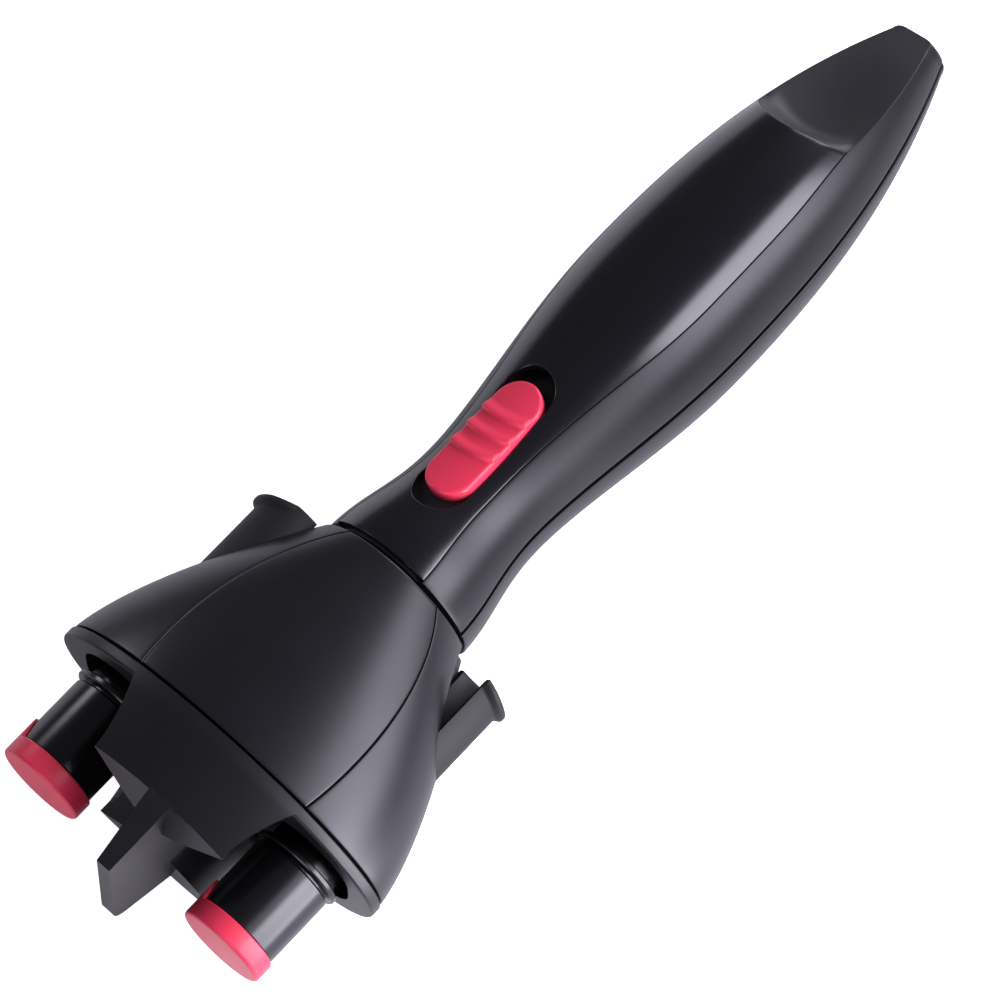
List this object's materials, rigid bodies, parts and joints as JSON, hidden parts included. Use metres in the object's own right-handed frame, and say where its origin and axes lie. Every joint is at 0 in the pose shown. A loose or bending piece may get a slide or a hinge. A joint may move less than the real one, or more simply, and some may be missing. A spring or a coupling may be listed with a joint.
{
  "type": "automatic hair braider",
  "caption": "Hand-held braider: a slim handle with a slide switch turns a flared head whose capped rollers twist strands of hair while the head braids them.",
  "frame": {"origin": "centre of the bounding box, on the device's axis", "axes": "+X along the device's axis from the head to the handle's end; +Z out of the head's front cover; +Y towards the left roller. The handle is stored turned 20 degrees about X against the head, as in the picture, so its switch side leans towards +Y."},
  "size_m": [0.2434, 0.0822, 0.0494],
  "materials": {
    "satin_black": "satin, fine moulded texture",
    "gloss_black": "polished",
    "red": "satin, coral red",
    "white_pom": "natural acetal",
    "dark_plastic": "moulded",
    "steel": "bright",
    "brass": "turned",
    "cell_sleeve": "plain grey sleeve",
    "wire_red": "insulation",
    "wire_blue": "insulation",
    "magnet": "ferrite grey"
  },
  "bodies": {
    "handle": {"handle_front_shell": "satin_black", "handle_front_panel": "satin_black", "handle_back_shell": "satin_black", "handle_screws": "steel", "switch_body": "dark_plastic", "cell_1": "cell_sleeve", "cell_2": "cell_sleeve", "battery_contact_front": "steel", "battery_contact_rear": "steel", "battery_leads": "wire_red", "motor_leads": "wire_blue", "motor_can": "steel", "motor_end_cap": "white_pom", "motor_magnets": "magnet", "gearbox_housing": "white_pom", "neck_sleeve": "satin_black", "neck_bush": "brass", "neck_clutch": "steel"},
    "battery_cover": {"battery_cover": "satin_black"},
    "switch": {"switch_knob": "red"},
    "motor_rotor": {"motor_armature": "brass", "motor_pinion": "brass"},
    "first_carrier": {"first_carrier": "white_pom"},
    "first_planet_1": {"first_planet_1": "white_pom"},
    "first_planet_2": {"first_planet_2": "white_pom"},
    "first_planet_3": {"first_planet_3": "white_pom"},
    "second_planet_1": {"second_planet_1": "white_pom"},
    "second_planet_2": {"second_planet_2": "white_pom"},
    "second_planet_3": {"second_planet_3": "white_pom"},
    "drive": {"drive_shaft": "steel", "sun_gear": "white_pom"},
    "head": {"head_hub": "satin_black", "hub_clutch": "steel", "shaft_bush": "brass", "hub_circlip": "steel", "gear_plate": "satin_black", "head_front_cover": "satin_black", "head_back_cover": "satin_black", "left_cheek": "satin_black", "right_cheek": "satin_black", "base_plate": "satin_black", "nose_block": "satin_black", "nose_screws": "steel", "roller_bushes": "brass", "left_hair_guide": "satin_black", "right_hair_guide": "satin_black"},
    "left_roller": {"left_roller": "gloss_black", "left_roller_cap": "red", "left_roller_gear": "white_pom"},
    "right_roller": {"right_roller": "gloss_black", "right_roller_cap": "red", "right_roller_gear": "white_pom"}
  },
  "joints": [
    {"name": "drive_spin", "type": "hinge", "parent": "handle", "child": "drive", "pos_m": [-0.0383, 0, 0], "axis": [1, 0, 0], "continuous": true},
    {"name": "head_turn", "type": "hinge", "parent": "drive", "child": "head", "pos_m": [-0.0383, 0, 0], "axis": [1, 0, 0], "continuous": true},
    {"name": "left_roller_spin", "type": "hinge", "parent": "head", "child": "left_roller", "pos_m": [-0.0383, 0.024, 0], "axis": [1, 0, 0], "continuous": true},
    {"name": "right_roller_spin", "type": "hinge", "parent": "head", "child": "right_roller", "pos_m": [-0.0383, -0.024, 0], "axis": [1, 0, 0], "continuous": true},
    {"name": "second_planet_1_spin", "type": "hinge", "parent": "drive", "child": "second_planet_1", "pos_m": [-0.0383, 0.00564, -0.00205], "axis": [1, 0, 0], "continuous": true},
    {"name": "second_planet_2_spin", "type": "hinge", "parent": "drive", "child": "second_planet_2", "pos_m": [-0.0383, -0.00104, 0.00591], "axis": [1, 0, 0], "continuous": true},
    {"name": "second_planet_3_spin", "type": "hinge", "parent": "drive", "child": "second_planet_3", "pos_m": [-0.0383, -0.0046, -0.00386], "axis": [1, 0, 0], "continuous": true},
    {"name": "first_carrier_spin", "type": "hinge", "parent": "handle", "child": "first_carrier", "pos_m": [-0.0383, 0, 0], "axis": [1, 0, 0], "continuous": true},
    {"name": "first_planet_1_spin", "type": "hinge", "parent": "first_carrier", "child": "first_planet_1", "pos_m": [-0.0383, 0.00564, -0.00205], "axis": [1, 0, 0], "continuous": true},
    {"name": "first_planet_2_spin", "type": "hinge", "parent": "first_carrier", "child": "first_planet_2", "pos_m": [-0.0383, -0.00104, 0.00591], "axis": [1, 0, 0], "continuous": true},
    {"name": "first_planet_3_spin", "type": "hinge", "parent": "first_carrier", "child": "first_planet_3", "pos_m": [-0.0383, -0.0046, -0.00386], "axis": [1, 0, 0], "continuous": true},
    {"name": "motor_spin", "type": "hinge", "parent": "handle", "child": "motor_rotor", "pos_m": [-0.0383, 0, 0], "axis": [1, 0, 0], "continuous": true},
    {"name": "switch_slide", "type": "slide", "parent": "handle", "child": "switch", "axis": [1, 0, 0], "range_m": [-0.0035, 0.0035]},
    {"name": "battery_cover_lift", "type": "slide", "parent": "handle", "child": "battery_cover", "axis": [0, -0.342, -0.9397], "range_m": [0, 0.025]}
  ],
  "couplings": [
    {"joint": "left_roller_spin", "follows": "head_turn", "ratio": 1.4},
    {"joint": "right_roller_spin", "follows": "head_turn", "ratio": 1.4},
    {"joint": "second_planet_1_spin", "follows": "drive_spin", "ratio": -2.6},
    {"joint": "second_planet_2_spin", "follows": "drive_spin", "ratio": -2.6},
    {"joint": "second_planet_3_spin", "follows": "drive_spin", "ratio": -2.6},
    {"joint": "first_carrier_spin", "follows": "drive_spin", "ratio": 5.3333},
    {"joint": "first_planet_1_spin", "follows": "drive_spin", "ratio": -13.867},
    {"joint": "first_planet_2_spin", "follows": "drive_spin", "ratio": -13.867},
    {"joint": "first_planet_3_spin", "follows": "drive_spin", "ratio": -13.867},
    {"joint": "motor_spin", "follows": "drive_spin", "ratio": 28.444}
  ]
}
